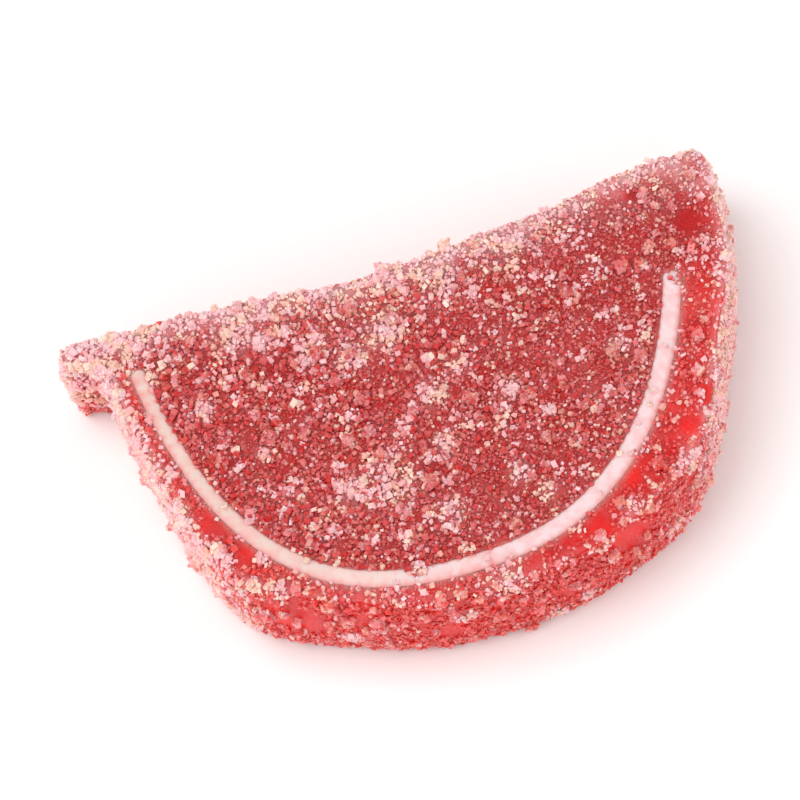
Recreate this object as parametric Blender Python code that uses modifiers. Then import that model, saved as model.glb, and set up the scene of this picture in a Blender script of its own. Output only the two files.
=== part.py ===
"""Jelly fruit slice: a half-round slab of red jelly with a white pith band let in behind its rind, sanded with sugar.

Metres, +Z up. The slice lies on one cut face. Its flat side faces +Y and its rind curves round to -Y. The plan's own
origin is the middle of the line between the two corners; at the end the whole slice is moved so that the origin is
the middle of the bounding box's base.
"""

import math
import random

import bmesh
import bpy
from mathutils import Euler, Matrix, Vector, noise

MM = 0.001

# The slab of jelly
THICKNESS = 9.2 * MM
DEPTH = 25.9 * MM  # from the line between the corners to the middle of the rind
RIND_CENTRE = 6.0 * MM  # how far the rind's own centre lies behind that line
RIM_RIGHT = {"half_width": 22.6 * MM, "fullness": 2.6}
RIM_LEFT = {"half_width": 21.2 * MM, "fullness": 2.87}
RIM_WAVES = ((4, 0.16 * MM, -2.7), (6, 0.24 * MM, -0.2), (9, 0.26 * MM, -0.5))  # count, height, phase
RIM_POINTS = 76
LIP_LENGTH = 3.0 * MM  # how far the left corner is drawn out
LIP_FADE = 1.3 * MM
CORNER_ROUND = {"right": 1.4 * MM, "left": 1.2 * MM}
CORNER_POINTS = 4
FLAT_SIDE_STEPS = 26
FLAT_SIDE_BACK = 0.35 * MM  # the flat side behind the corner line, near the corners
FLAT_SIDE_DIP = 1.65 * MM
FLAT_SIDE_DIP_HALF = 20.5 * MM
EDGE_ROUND = 0.34 * MM
EDGE_SEGMENTS = 2
SIDE_BULGE = 0.35 * MM

# The pith band
BAND_DEPTH = 23.9 * MM
BAND_RIGHT = {"half_width": 19.75 * MM, "fullness": 2.16}
BAND_LEFT = {"half_width": 19.4 * MM, "fullness": 2.65}
BAND_RIGHT_END = 8.4 * MM  # how far each end's middle stops short of the corner line
BAND_LEFT_END = 3.2 * MM
BAND_WIDTH_LEFT = 1.02 * MM
BAND_WIDTH_RIGHT = 1.3 * MM
BAND_SWELL = 0.1 * MM
BAND_END_ROUND = 0.8  # how far each end reaches out, against half its width
BAND_END_POINTS = 5
BAND_STEPS = 40
BAND_RECESS = 0.15 * MM
FIT_GAP = 0.3 * MM

# The uneven surface
LATTICE_STEP = 3.0 * MM
FACE_RELIEF = 0.14 * MM
RELIEF_SCALE = 6.0 * MM

# The largest sugar grains
GRAIN_SEED = 41
JELLY_GRAINS = 320
PITH_GRAINS = 12
GRAIN_LARGEST = 1.15 * MM
GRAIN_SMALLEST = 0.55 * MM
PITH_GRAIN = 0.42 * MM
GRAIN_SPACING = 0.35 * MM  # clear space between two grains
GRAIN_SHAPE = (1.0, 0.82, 0.7)
GRAIN_SUNK = 0.12  # of its size
EDGE_CROWDING = 2.2  # grains on the sides and round the corners, against those on the face
BASE_CLEAR = 1.3 * MM  # the wall stays free of grains this far up

JELLY_COLOUR = (0.60, 0.045, 0.04)
PITH_COLOUR = (0.90, 0.72, 0.68)


def clear_scene():
    for obj in list(bpy.data.objects):
        bpy.data.objects.remove(obj)


def make_material(name, colour, roughness):
    material = bpy.data.materials.new(name)
    material.use_nodes = True
    shader = material.node_tree.nodes["Principled BSDF"]
    shader.inputs["Base Color"].default_value = (*colour, 1.0)
    shader.inputs["Roughness"].default_value = roughness
    shader.inputs["Metallic"].default_value = 0.0
    return material


def arch_point(turn, right, left, depth):
    """A point of a half-round arch. turn runs from 0 at the right to pi at the left, round the lowest point."""
    side = right if math.cos(turn) > 0 else left
    power = 2 / side["fullness"]
    across = math.copysign(abs(math.cos(turn)) ** power, math.cos(turn))
    down = math.sin(turn) ** power
    return Vector((side["half_width"] * across, RIND_CENTRE - (depth + RIND_CENTRE) * down))


def turn_at(below, side, depth):
    """How far an arch has turned, from its own end, where it is this far below the corner line."""
    return math.asin(((below + RIND_CENTRE) / (depth + RIND_CENTRE)) ** (side["fullness"] / 2))


def rim_point(turn):
    """The rind's outline, with its waves and the lip drawn out at the left corner."""
    point = arch_point(turn, RIM_RIGHT, RIM_LEFT, DEPTH)
    wave = sum(height * math.sin(count * turn + phase) for count, height, phase in RIM_WAVES)
    outward = Vector((math.cos(turn), -math.sin(turn)))
    point += outward * wave
    if point.x < 0:
        point.x -= LIP_LENGTH * math.exp(-((min(point.y, 0.0) / LIP_FADE) ** 4))
    return point


def flat_side_y(x):
    """The flat side sags gently between the corners."""
    y = FLAT_SIDE_BACK + 0.08 * MM * math.sin(x / (2.1 * MM)) + 0.06 * MM * math.sin(x / (1.2 * MM) + 1.0)
    if abs(x) < FLAT_SIDE_DIP_HALF:
        y -= FLAT_SIDE_DIP * math.cos(math.pi / 2 * x / FLAT_SIDE_DIP_HALF) ** 2
    return y


def rounded_corner(start, corner, end):
    """Points of a soft corner from start to end, without the two ends themselves."""
    steps = [k / (CORNER_POINTS + 1) for k in range(1, CORNER_POINTS + 1)]
    return [start * (1 - s) ** 2 + corner * 2 * s * (1 - s) + end * s**2 for s in steps]


def slab_outline():
    """The slice seen from above, anticlockwise from the left corner."""
    first = turn_at(-FLAT_SIDE_BACK, RIM_RIGHT, DEPTH)
    last = math.pi - turn_at(-FLAT_SIDE_BACK, RIM_LEFT, DEPTH)
    right_corner, left_corner = rim_point(first), rim_point(last)
    rim = [rim_point(last + (first - last) * k / RIM_POINTS) for k in range(RIM_POINTS + 1)]
    rim = [
        p
        for p in rim
        if (p - right_corner).length > CORNER_ROUND["right"] and (p - left_corner).length > CORNER_ROUND["left"]
    ]
    span = right_corner.x - left_corner.x
    flat = [right_corner.x - span * k / FLAT_SIDE_STEPS for k in range(FLAT_SIDE_STEPS + 1)]
    flat = [x for x in flat if left_corner.x + CORNER_ROUND["left"] < x < right_corner.x - CORNER_ROUND["right"]]
    flat = [Vector((x, flat_side_y(x))) for x in flat]
    return [
        *rim,
        *rounded_corner(rim[-1], right_corner, flat[0]),
        *flat,
        *rounded_corner(flat[-1], left_corner, rim[0]),
    ]


def band_half_width(share):
    """Half the band's width, from its left end at 0 to its right end at 1."""
    swell = BAND_SWELL * math.sin(math.pi * share**1.3) ** 1.5
    return (BAND_WIDTH_LEFT + (BAND_WIDTH_RIGHT - BAND_WIDTH_LEFT) * share + swell) / 2


def band_line():
    """The middle of the band, from its left end to its right end: (point, direction along it, half width)."""
    last = turn_at(BAND_RIGHT_END, BAND_RIGHT, BAND_DEPTH)
    first = math.pi - turn_at(BAND_LEFT_END, BAND_LEFT, BAND_DEPTH)
    turns = [first + (last - first) * k / BAND_STEPS for k in range(BAND_STEPS + 1)]
    points = [arch_point(turn, BAND_RIGHT, BAND_LEFT, BAND_DEPTH) for turn in turns]
    line = []
    for k, point in enumerate(points):
        along = points[min(k + 1, BAND_STEPS)] - points[max(k - 1, 0)]
        line.append((point, along.normalized(), band_half_width(k / BAND_STEPS)))
    return line


def band_end(point, outward, half, grow):
    """The points round one end of the band, anticlockwise, without the two where its sides start."""
    across = Vector((outward.y, -outward.x)) * (half + grow)
    reach = outward * (half * BAND_END_ROUND + grow)
    angles = [math.pi * k / (BAND_END_POINTS + 1) for k in range(1, BAND_END_POINTS + 1)]
    return [point + across * math.cos(angle) + reach * math.sin(angle) for angle in angles]


def band_outline(grow):
    """The band seen from above, anticlockwise, grown all round by grow."""
    line = band_line()
    outer = [point + Vector((along.y, -along.x)) * (half + grow) for point, along, half in line]
    inner = [point - Vector((along.y, -along.x)) * (half + grow) for point, along, half in line]
    start_point, start_along, start_half = line[0]
    return [
        *band_end(start_point, -start_along, start_half, grow),
        *outer,
        *band_end(*line[-1], grow),
        *reversed(inner),
    ]


def slab_from_outline(name, outline, bottom, top, collection):
    """A flat outline with a thickness, as a closed mesh."""
    curve = bpy.data.curves.new(name, "CURVE")
    curve.dimensions = "2D"
    curve.fill_mode = "BOTH"
    curve.extrude = (top - bottom) / 2
    spline = curve.splines.new("POLY")
    spline.points.add(len(outline) - 1)
    for point, place in zip(spline.points, outline):
        point.co = (place.x, place.y, 0, 1)
    spline.use_cyclic_u = True
    guide = bpy.data.objects.new(name + "_guide", curve)
    guide.location.z = (bottom + top) / 2
    collection.objects.link(guide)
    bpy.context.view_layer.update()
    mesh = bpy.data.meshes.new_from_object(guide.evaluated_get(bpy.context.evaluated_depsgraph_get()))
    mesh.transform(guide.matrix_world)
    bpy.data.objects.remove(guide)
    obj = bpy.data.objects.new(name, mesh)
    mesh.name = name
    collection.objects.link(obj)
    bm = bmesh.new()
    bm.from_mesh(mesh)
    bmesh.ops.remove_doubles(bm, verts=bm.verts, dist=0.001 * MM)
    bmesh.ops.dissolve_limit(bm, angle_limit=math.radians(1), verts=bm.verts, edges=bm.edges)
    bmesh.ops.recalc_face_normals(bm, faces=bm.faces)
    bm.to_mesh(mesh)
    bm.free()
    return obj


def apply_modifiers(obj):
    graph = bpy.context.evaluated_depsgraph_get()
    mesh = bpy.data.meshes.new_from_object(obj.evaluated_get(graph))
    obj.modifiers.clear()
    obj.data = mesh


def round_edges(obj, width, segments):
    bevel = obj.modifiers.new("SoftEdges", "BEVEL")
    bevel.width = width
    bevel.segments = segments
    bevel.limit_method = "ANGLE"
    bevel.angle_limit = math.radians(50)
    apply_modifiers(obj)


def cut_rows(bm, elements, normal, low, high, step):
    """Cuts these elements across by evenly spaced planes between low and high."""
    count = max(1, round((high - low) / step))
    for k in range(1, count):
        place = Vector(normal) * (low + (high - low) * k / count)
        bmesh.ops.bisect_plane(bm, geom=elements(bm), dist=0.01 * MM, plane_co=place, plane_no=normal)


def top_face(bm):
    faces = [f for f in bm.faces if f.normal.z > 0.99]
    edges = {e for f in faces for e in f.edges}
    verts = {v for f in faces for v in f.verts}
    return [*faces, *edges, *verts]


def whole_mesh(bm):
    return [*bm.faces, *bm.edges, *bm.verts]


def add_relief(obj):
    """A soft body is never quite flat: the upper face rolls a little and the sides swell between the faces."""
    bm = bmesh.new()
    bm.from_mesh(obj.data)
    xs = [v.co.x for v in bm.verts]
    ys = [v.co.y for v in bm.verts]
    cut_rows(bm, whole_mesh, (0, 0, 1), EDGE_ROUND, THICKNESS - EDGE_ROUND, THICKNESS / 3)
    cut_rows(bm, top_face, (1, 0, 0), min(xs), max(xs), LATTICE_STEP)
    cut_rows(bm, top_face, (0, 1, 0), min(ys), max(ys), LATTICE_STEP)
    bm.normal_update()
    for vert in bm.verts:
        height = vert.co.z / THICKNESS
        if height < 0.01:
            continue
        roll = noise.noise(vert.co / RELIEF_SCALE) + 0.5 * noise.noise(vert.co / RELIEF_SCALE * 2.3)
        swell = SIDE_BULGE * math.sin(math.pi * height)
        flat = Vector((vert.normal.x, vert.normal.y, 0))
        vert.co += flat * (swell + FACE_RELIEF * 1.5 * roll * height)
        vert.co.z += FACE_RELIEF * roll * height * max(vert.normal.z, 0)
    bm.to_mesh(obj.data)
    bm.free()


def cut_slot(jelly, cutter):
    boolean = jelly.modifiers.new("BandSlot", "BOOLEAN")
    boolean.operation = "DIFFERENCE"
    boolean.object = cutter
    apply_modifiers(jelly)
    bpy.data.objects.remove(cutter)


def distance_to_band(point):
    """Distance in plan to the band's edge, negative inside it."""
    flat = Vector((point.x, point.y))
    return min((flat - middle).length - half for middle, _, half in band_line())


def surface_points(obj, count, draw, keep, crowding):
    """Random (place, normal) pairs spread over the faces that keep accepts, by area times crowding."""
    obj.data.calc_loop_triangles()
    spots, weights = [], []
    for triangle in obj.data.loop_triangles:
        corners = [obj.data.vertices[k].co for k in triangle.vertices]
        middle = sum(corners, Vector()) / 3
        if keep(middle, triangle.normal):
            spots.append((corners, triangle.normal.copy()))
            weights.append(triangle.area * crowding(middle, triangle.normal))
    picked = []
    for corners, normal in draw.choices(spots, weights, k=count):
        a, b = sorted((draw.random(), draw.random()))
        place = corners[0] * a + corners[1] * (b - a) + corners[2] * (1 - b)
        picked.append((place, normal))
    return picked


def spread_grains(candidates, sizes, clear):
    """Places the grains in the order of sizes, each in the first free candidate: [(place, normal, size)]."""
    placed = []
    waiting = list(candidates)
    for size in sizes:
        for k, (place, normal) in enumerate(waiting):
            apart = all((place - p).length > (size + s) / 2 + GRAIN_SPACING for p, _, s in placed)
            if apart and clear(place, size):
                placed.append((place, normal, size))
                waiting.pop(k)
                break
    return placed


def fuse_grains(obj, placed, draw):
    """Joins sugar crystals, each a tumbled block half sunk in the surface, to the object."""
    heap = bpy.data.collections.new(obj.name + "_grains")
    bpy.context.scene.collection.children.link(heap)
    block = bpy.data.meshes.new("grain")
    bm = bmesh.new()
    bmesh.ops.create_cube(bm, size=1.0)
    bm.to_mesh(block)
    bm.free()
    for k, (place, normal, size) in enumerate(placed):
        grain = bpy.data.objects.new(f"grain_{k}", block)
        tumble = Euler([draw.uniform(0, math.tau) for _ in range(3)]).to_matrix().to_4x4()
        shape = Matrix.Diagonal([size * share * draw.uniform(0.88, 1.12) for share in GRAIN_SHAPE] + [1])
        grain.matrix_world = Matrix.Translation(place - normal * size * GRAIN_SUNK) @ tumble @ shape
        heap.objects.link(grain)
    join = obj.modifiers.new("Sugar", "BOOLEAN")
    join.operation = "UNION"
    join.solver = "MANIFOLD"
    join.operand_type = "COLLECTION"
    join.collection = heap
    bpy.context.view_layer.update()
    apply_modifiers(obj)
    for grain in list(heap.objects):
        bpy.data.objects.remove(grain)
    bpy.data.collections.remove(heap)
    bpy.data.meshes.remove(block)


def grain_sizes(count):
    """Sizes from the largest down, most of them near the smallest."""
    return [GRAIN_SMALLEST + (GRAIN_LARGEST - GRAIN_SMALLEST) * (1 - k / count) ** 3 for k in range(count)]


def sugar_jelly(jelly):
    draw = random.Random(GRAIN_SEED)

    def keep(place, normal):
        in_slot = distance_to_band(place) < FIT_GAP * 1.5
        return not in_slot and normal.z > -0.5 and place.z > BASE_CLEAR

    def crowding(place, normal):
        near_corner = abs(place.x) > 0.4 * (RIM_RIGHT["half_width"] + RIM_LEFT["half_width"])
        return EDGE_CROWDING if normal.z < 0.9 or near_corner else 1.0

    def clear(place, size):
        return distance_to_band(place) > FIT_GAP + 0.75 * size and place.z - 0.75 * size > 0.1 * MM

    candidates = surface_points(jelly, 12 * JELLY_GRAINS, draw, keep, crowding)
    placed = spread_grains(candidates, grain_sizes(JELLY_GRAINS), clear)
    fuse_grains(jelly, placed, draw)


def sugar_pith(pith):
    draw = random.Random(GRAIN_SEED + 1)
    top = THICKNESS - BAND_RECESS

    def keep(place, normal):
        return normal.z > 0.9 and place.z > top - 0.1 * MM

    def clear(place, size):
        return distance_to_band(place) < -0.75 * size + FIT_GAP * 0.5

    candidates = surface_points(pith, 60 * PITH_GRAINS, draw, keep, lambda place, normal: 1.0)
    placed = spread_grains(candidates, [PITH_GRAIN] * PITH_GRAINS, clear)
    fuse_grains(pith, placed, draw)


def stand_on_origin(objects):
    """Moves the slice so that the middle of its bounding box's base is the origin."""
    places = [v.co for obj in objects for v in obj.data.vertices]
    low = Vector([min(p[k] for p in places) for k in range(3)])
    high = Vector([max(p[k] for p in places) for k in range(3)])
    shift = Matrix.Translation((-(low.x + high.x) / 2, -(low.y + high.y) / 2, -low.z))
    for obj in objects:
        obj.data.transform(shift)


def finish_surface(obj, material):
    obj.data.materials.clear()
    obj.data.materials.append(material)
    obj.data.shade_smooth()
    obj.data.set_sharp_from_angle(angle=math.radians(35))


def build():
    clear_scene()
    slice_parts = bpy.data.collections.new("JellyFruitSlice")
    bpy.context.scene.collection.children.link(slice_parts)

    jelly = slab_from_outline("jelly", slab_outline(), 0.0, THICKNESS, slice_parts)
    round_edges(jelly, EDGE_ROUND, EDGE_SEGMENTS)
    add_relief(jelly)
    reach = 2 * MM
    cutter = slab_from_outline("slot_cutter", band_outline(FIT_GAP), -reach, THICKNESS + reach, slice_parts)
    cut_slot(jelly, cutter)
    sugar_jelly(jelly)

    pith = slab_from_outline("pith", band_outline(0.0), 0.0, THICKNESS - BAND_RECESS, slice_parts)
    sugar_pith(pith)

    stand_on_origin([jelly, pith])
    finish_surface(jelly, make_material("RedJelly", JELLY_COLOUR, 0.45))
    finish_surface(pith, make_material("WhitePith", PITH_COLOUR, 0.6))


build()
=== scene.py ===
"""Dresses the packed jelly fruit slice: red jelly, a white pith band and a coat of real sugar crystals.

Everything is in metres in the slice's own frame: it lies on its cut face at z = 0, its flat side faces +Y
and its rind curves round to -Y. The plan's own origin is the middle of the line between the two corners.
"""

import math

import bmesh
import bpy
import numpy as np
from bpy.props import FloatProperty, FloatVectorProperty, IntProperty, PointerProperty
from mathutils import Matrix, Vector, noise
from mathutils.bvhtree import BVHTree
from mathutils.kdtree import KDTree


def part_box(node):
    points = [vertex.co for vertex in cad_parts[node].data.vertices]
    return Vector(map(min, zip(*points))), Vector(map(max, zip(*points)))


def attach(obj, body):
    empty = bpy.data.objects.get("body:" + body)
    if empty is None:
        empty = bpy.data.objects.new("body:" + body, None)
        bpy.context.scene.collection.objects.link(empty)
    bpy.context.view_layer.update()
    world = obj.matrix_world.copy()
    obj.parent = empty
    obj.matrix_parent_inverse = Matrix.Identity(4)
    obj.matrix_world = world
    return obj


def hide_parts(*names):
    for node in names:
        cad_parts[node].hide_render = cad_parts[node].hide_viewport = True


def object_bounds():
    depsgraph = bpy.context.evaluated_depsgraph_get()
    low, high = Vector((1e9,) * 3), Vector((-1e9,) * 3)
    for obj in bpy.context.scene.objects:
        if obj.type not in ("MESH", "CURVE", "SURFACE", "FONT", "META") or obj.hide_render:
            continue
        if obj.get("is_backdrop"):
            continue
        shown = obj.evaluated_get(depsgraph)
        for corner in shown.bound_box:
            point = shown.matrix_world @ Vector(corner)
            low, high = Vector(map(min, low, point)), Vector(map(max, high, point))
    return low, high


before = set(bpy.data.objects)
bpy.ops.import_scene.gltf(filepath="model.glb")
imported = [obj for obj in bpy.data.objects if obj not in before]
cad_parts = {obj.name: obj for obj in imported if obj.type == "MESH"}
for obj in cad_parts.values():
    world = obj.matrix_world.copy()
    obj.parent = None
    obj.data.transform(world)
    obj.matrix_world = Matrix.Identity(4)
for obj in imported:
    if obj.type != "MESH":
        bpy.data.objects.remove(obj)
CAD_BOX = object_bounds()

bl_info = {
    "name": "Jelly Fruit Slice",
    "version": (1, 0, 0),
    "blender": (4, 5, 0),
    "location": "3D View > Sidebar > Jelly Slice",
    "description": "Makes a sugared jelly fruit slice with a white pith band",
    "category": "Add Mesh",
}

MM = 0.001
BODY = "root"
SHARP = math.radians(50)  # edges that turn by more than this show as edges
OUT_OF_FLAT = 0.7  # a direction whose y is over this faces out of the flat side

# Steps along the outlines
RIND_STEPS, FLAT_STEPS, CORNER_STEPS = 500, 200, 14
EASING_ROUNDS = 12
COARSE_STEPS, NEAR_STEPS, SLOT_STEPS, BAND_STEPS = 40, 80, 160, 260
END_STEPS = 8
END_REACH = 0.8  # how far each end of the band reaches out, against half its width
END_BEND = 0.97 * math.pi / 2  # how far round its last station is

# Unevenness of the form
RIM_WAVES = ((4, 0.16 * MM, -2.7), (6, 0.24 * MM, -0.2), (9, 0.26 * MM, -0.5))  # count, height, phase
FLAT_RIPPLES = ((2.1 * MM, 0.08 * MM, 0.0), (1.2 * MM, 0.06 * MM, 1.0))  # length, height, phase
SWELL_SHIFT, SWELL_SHAPE = 1.3, 1.5  # powers that set where the band is thickest, and how suddenly
SMALL_ROLL, SMALL_ROLL_FINER = 0.5, 2.3  # height and fineness of the smaller rolls, against the larger ones
SIDE_ROLL = 1.5  # how far the rolls reach on the sides, against the face
PITS = ((1.0, 0.8 * MM, 3.0), (0.6, 0.35 * MM, 9.0))  # share, size, and where in the noise

# The rind's brighter red: partly its own colour and partly painted glow of light through the jelly; along the
# slice's other edges it is only painted glow
RED_RISE = 0.4 * MM  # it comes in over this, from the band outwards
RED_PAST_ENDS = 6.0 * MM  # it fades out over this past the band's ends
RED_OPENING = 0.7  # and there it comes in over a width that opens by this share of the way
HAIR = 0.01 * MM  # the width that this starts from
EDGE_GLOW = 0.7  # its share along the slice's other edges, where it is painted glow
EDGE_GLOW_FULL, EDGE_GLOW_NONE = 0.6 * MM, 2.1 * MM  # how far in from those it is full, and gone

# The sugar coat
ENDS_REACH = 20.0 * MM  # what changes from left to right has done so this far from the middle
SPOT_FULL, SPOT_NONE = 7 / 13, 17 / 13  # a spot is full, and gone, at these shares of its radius
# The chance that a crystal stays: everywhere, and at most besides in patches of this size, taken from this
# place in the noise
ON_FLESH = (0.75, 0.25, 2.5 * MM, 5.0)
ON_RIND_FACE = (0.28, 0.6, 1.6 * MM, 2.0)
ON_RIND_SIDE = (0.21, 0.5, 1.4 * MM, 4.0)
ON_BASE = (0.4, 0.6, 2.5 * MM, 6.0)
ON_ENDS = 0.8  # added on the sides that face left and right
ON_FLAT_SIDE = 0.79
RIND_COAT_PAST_ENDS = 2.5 * MM  # the rind's thinner coat fades into the flesh's over this
ON_BAND_GAP = 0.08 * MM  # crystals nearer to the band than this lie on it
CLEAR_UNDERNEATH = 0.12 * MM  # and on the base none lies nearer than this
SIZE_SPREAD, SIZE_LIMITS = 0.32, (0.5, 2.2)  # of the crystals, against their middle size
FROSTED = 0.097  # chance that a crystal is white where nothing makes it likelier

# Places that the photograph shows: x, y and z from the plan's own origin, and a radius, in millimetres
BARE_PATCHES = (
    (20.0, -4.9, 9.2, 1.1), (9.4, -24.7, 6.6, 2.2), (-13.6, -22.5, 5.4, 3.0), (-9.3, -24.5, 6.6, 1.4),
    (-4.3, -26.0, 3.9, 1.5), (4.8, -26.1, 4.5, 1.4), (7.7, -24.3, 9.2, 1.1), (-17.1, -15.5, 9.2, 1.2),
    (-15.6, -18.3, 9.2, 1.1), (10.8, -21.5, 9.2, 0.9), (15.7, -19.0, 9.2, 0.8), (17.5, -17.5, 9.2, 0.9),
    (16.9, -1.7, 9.2, 0.6),
)
CLUMPS = (
    (-4.6, -6.7, 9.2, 1.4), (-2.1, -5.8, 9.2, 1.5), (-12.0, -2.7, 9.2, 1.6), (7.9, -2.1, 9.2, 1.4),
    (2.5, -3.0, 9.2, 1.3), (-4.8, -16.3, 9.2, 2.2), (-7.4, -16.2, 9.2, 1.2), (-1.4, -19.7, 9.2, 1.1),
    (-0.6, -14.9, 9.2, 1.0), (3.6, -18.5, 9.2, 1.0), (12.6, -12.0, 9.2, 0.9), (-0.3, -11.3, 9.2, 1.2),
    (4.8, -12.5, 9.2, 1.0), (2.0, -9.8, 9.2, 0.9), (0.6, -25.8, 9.2, 1.8), (-12.4, -11.7, 9.2, 0.9),
    (-15.5, -7.2, 9.2, 0.9), (-7.6, -6.1, 9.2, 1.0), (-22.7, -2.3, 9.2, 1.9), (-23.0, -3.2, 9.2, 1.7),
    (5.1, -20.5, 9.2, 0.9), (-10.0, -3.6, 9.2, 1.0), (-18.6, -3.7, 9.2, 1.0), (-16.0, -20.7, 9.1, 1.0),
    (-14.1, -21.2, 9.2, 0.8), (10.2, -23.6, 9.2, 0.9), (15.2, -21.4, 8.6, 1.1), (7.7, -25.4, 8.2, 0.8),
    (-2.8, -26.0, 6.0, 1.0), (-8.2, -24.7, 5.3, 0.8), (-10.4, -23.7, 3.0, 1.0), (12.6, -23.3, 3.2, 1.3),
    (16.2, -20.1, 1.6, 1.2), (3.6, -26.0, 1.3, 1.1), (5.8, -25.7, 2.1, 0.9), (-16.6, -20.0, 1.6, 1.2),
    (-18.2, -17.0, 1.9, 1.2),
)
# Sugar that lies on the pith, and thickly frosted places
SPILLS = ((-4.7, -22.4, 9.2, 1.2), (-19.2, -2.0, 9.2, 0.9), (11.8, -20.2, 9.2, 0.5), (18.4, -8.3, 9.2, 0.8))
CRUSTS = ((-23.1, -3.1, 8.0, 3.2), (-22.7, -3.5, 4.5, 3.4), (-20.1, -1.0, 9.2, 1.6), (21.6, -1.8, 9.2, 1.5))


def length(name, default, description):
    kind = {"unit": "LENGTH", "subtype": "DISTANCE"}
    return FloatProperty(name=name, description=description, default=default, **kind)


def plain(name, default, description):
    return FloatProperty(name=name, description=description, default=default)


def power(name, default, description):
    return FloatProperty(name=name, description=description, default=default, unit="POWER")


def angle(name, degrees, description):
    return FloatProperty(name=name, description=description, default=math.radians(degrees), subtype="ANGLE")


def colour(name, default, description):
    """A colour, given as the eye sees it, from 0 to 255, and kept as light."""
    shown = [c / 255 for c in default]
    light = [c / 12.92 if c <= 0.04045 else ((c + 0.055) / 1.055) ** 2.4 for c in shown]
    return FloatVectorProperty(name=name, description=description, default=light, size=3, subtype="COLOR")


class JellySliceShape(bpy.types.PropertyGroup):
    """The slab of jelly"""

    thickness: length("Thickness", 9.2 * MM, "From the face it lies on to the upper face")
    depth: length("Depth", 25.9 * MM, "From the line between the corners to the middle of the rind")
    rind_centre: length("Rind Centre", 6.0 * MM, "How far the rind's centre lies behind that line")
    right_width: length("Right Half Width", 22.6 * MM, "Half width of the right quarter")
    right_fullness: plain("Right Fullness", 2.6, "2 is an ellipse, more is squarer")
    left_width: length("Left Half Width", 21.2 * MM, "Half width of the left quarter")
    left_fullness: plain("Left Fullness", 2.87, "2 is an ellipse, more is squarer")
    lip_length: length("Lip Length", 3.0 * MM, "How far the left corner is drawn out")
    lip_fade: length("Lip Fade", 1.3 * MM, "How soon the lip ends along the rind")
    right_corner: length("Right Corner", 1.4 * MM, "How much the right corner is rounded")
    left_corner: length("Left Corner", 1.2 * MM, "How much the left corner is rounded")
    flat_back: length("Flat Side", 0.35 * MM, "How far the flat side stands past the corner line")
    flat_dip: length("Flat Side Dip", 1.65 * MM, "How deep the flat side sags")
    flat_dip_half: length("Dip Half Length", 20.5 * MM, "Half the length of that sag")
    edge_round: length("Edge Rounding", 0.34 * MM, "Rounding of the edges of both faces")
    side_bulge: length("Side Bulge", 0.35 * MM, "How far the sides swell between the faces")
    face_relief: length("Relief", 0.14 * MM, "How far the upper face rolls")
    relief_scale: length("Relief Scale", 6.0 * MM, "Size of those rolls")
    pitting: length("Pitting", 0.045 * MM, "Height of the small dents left by the sugar")
    coat: length("Coat", 0.12 * MM, "How deep the skin lies in its coat of sugar")
    base_lift: length("Base Lift", 0.2 * MM, "The sugar under the slice holds its base this high")


class JellySlicePith(bpy.types.PropertyGroup):
    """The pith band"""

    depth: length("Depth", 23.9 * MM, "From the corner line to the band's lowest point")
    right_width: length("Right Half Width", 19.75 * MM, "Half width of the right quarter")
    right_fullness: plain("Right Fullness", 2.16, "2 is an ellipse, more is squarer")
    left_width: length("Left Half Width", 19.4 * MM, "Half width of the left quarter")
    left_fullness: plain("Left Fullness", 2.65, "2 is an ellipse, more is squarer")
    right_end: length("Right End", 8.4 * MM, "How far the right end stops short of the corner line")
    left_end: length("Left End", 3.2 * MM, "How far the left end stops short of the corner line")
    left_thickness: length("Left Thickness", 1.02 * MM, "Across the band at its left end")
    right_thickness: length("Right Thickness", 1.3 * MM, "Across the band at its right end")
    swell: length("Swell", 0.1 * MM, "How much thicker the band is midway")
    recess: length("Recess", 0.01 * MM, "How far the band lies below the jelly's face")
    crown: length("Crown", 0.02 * MM, "How far its shoulders round off")


class JellySliceSugar(bpy.types.PropertyGroup):
    """The sugar coat"""

    crystal: length("Crystal", 0.19 * MM, "Middle size of the fine crystals")
    face: plain("On the Face", 23.0, "Fine crystals on each square millimetre of the upper face")
    sides: plain("On the Sides", 28.0, "Fine crystals on each square millimetre of the sides")
    base: plain("Underneath", 9.0, "Fine crystals on each square millimetre of the base")
    lumps: plain("On Lumps", 22.0, "Fine crystals on each square millimetre of a lump")
    dust: length("Dust", 0.12 * MM, "Middle size of the dust")
    dust_cover: plain("Dust Cover", 17.0, "Grains of dust on each square millimetre")
    seed: IntProperty(name="Seed", description="Starts the random draw", default=7)


class JellySliceColours(bpy.types.PropertyGroup):
    """The colours"""

    flesh: colour("Flesh", (201, 28, 28), "Bare jelly of the flesh")
    flesh_deep: colour("Deep Flesh", (172, 14, 16), "Deeper red in it")
    rind: colour("Rind", (234, 26, 20), "Bare jelly of the rind, where more light comes through")
    rind_deep: colour("Deep Rind", (202, 12, 14), "Deeper red in it")
    dusty: colour("Dusty Jelly", (195, 60, 56), "Jelly under a film of sugar dust")
    # Painted glow: the white band's light showing through the jelly beside it
    by_pith: colour("Jelly by the Pith", (255, 132, 124), "Jelly that the white shows through")
    pith: colour("Pith", (234, 206, 208), "Middle of the band")
    pith_cream: colour("Creamy Pith", (224, 196, 186), "Its creamier left arm")
    # Partly the jelly's red stain on the band and partly the painted glow of the jelly's red light into it
    pith_edge: colour("Pith Edge", (236, 152, 148), "Where the band meets the jelly")
    # Clear crystals are painted with the jelly's red that shows through them: painted see-through light
    sugar_rosy: colour("Rosy Sugar", (206, 45, 44), "Clear crystals on the flesh, which take its colour")
    sugar_bright: colour("Bright Sugar", (230, 54, 50), "Clear crystals on the rind")
    sugar_white: colour("White Sugar", (255, 200, 203), "Frosted crystals")
    sugar_cream: colour("Creamy Sugar", (255, 210, 192), "Warmer frosted crystals")
    floor: colour("Floor", (249, 248, 247), "The floor")


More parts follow.
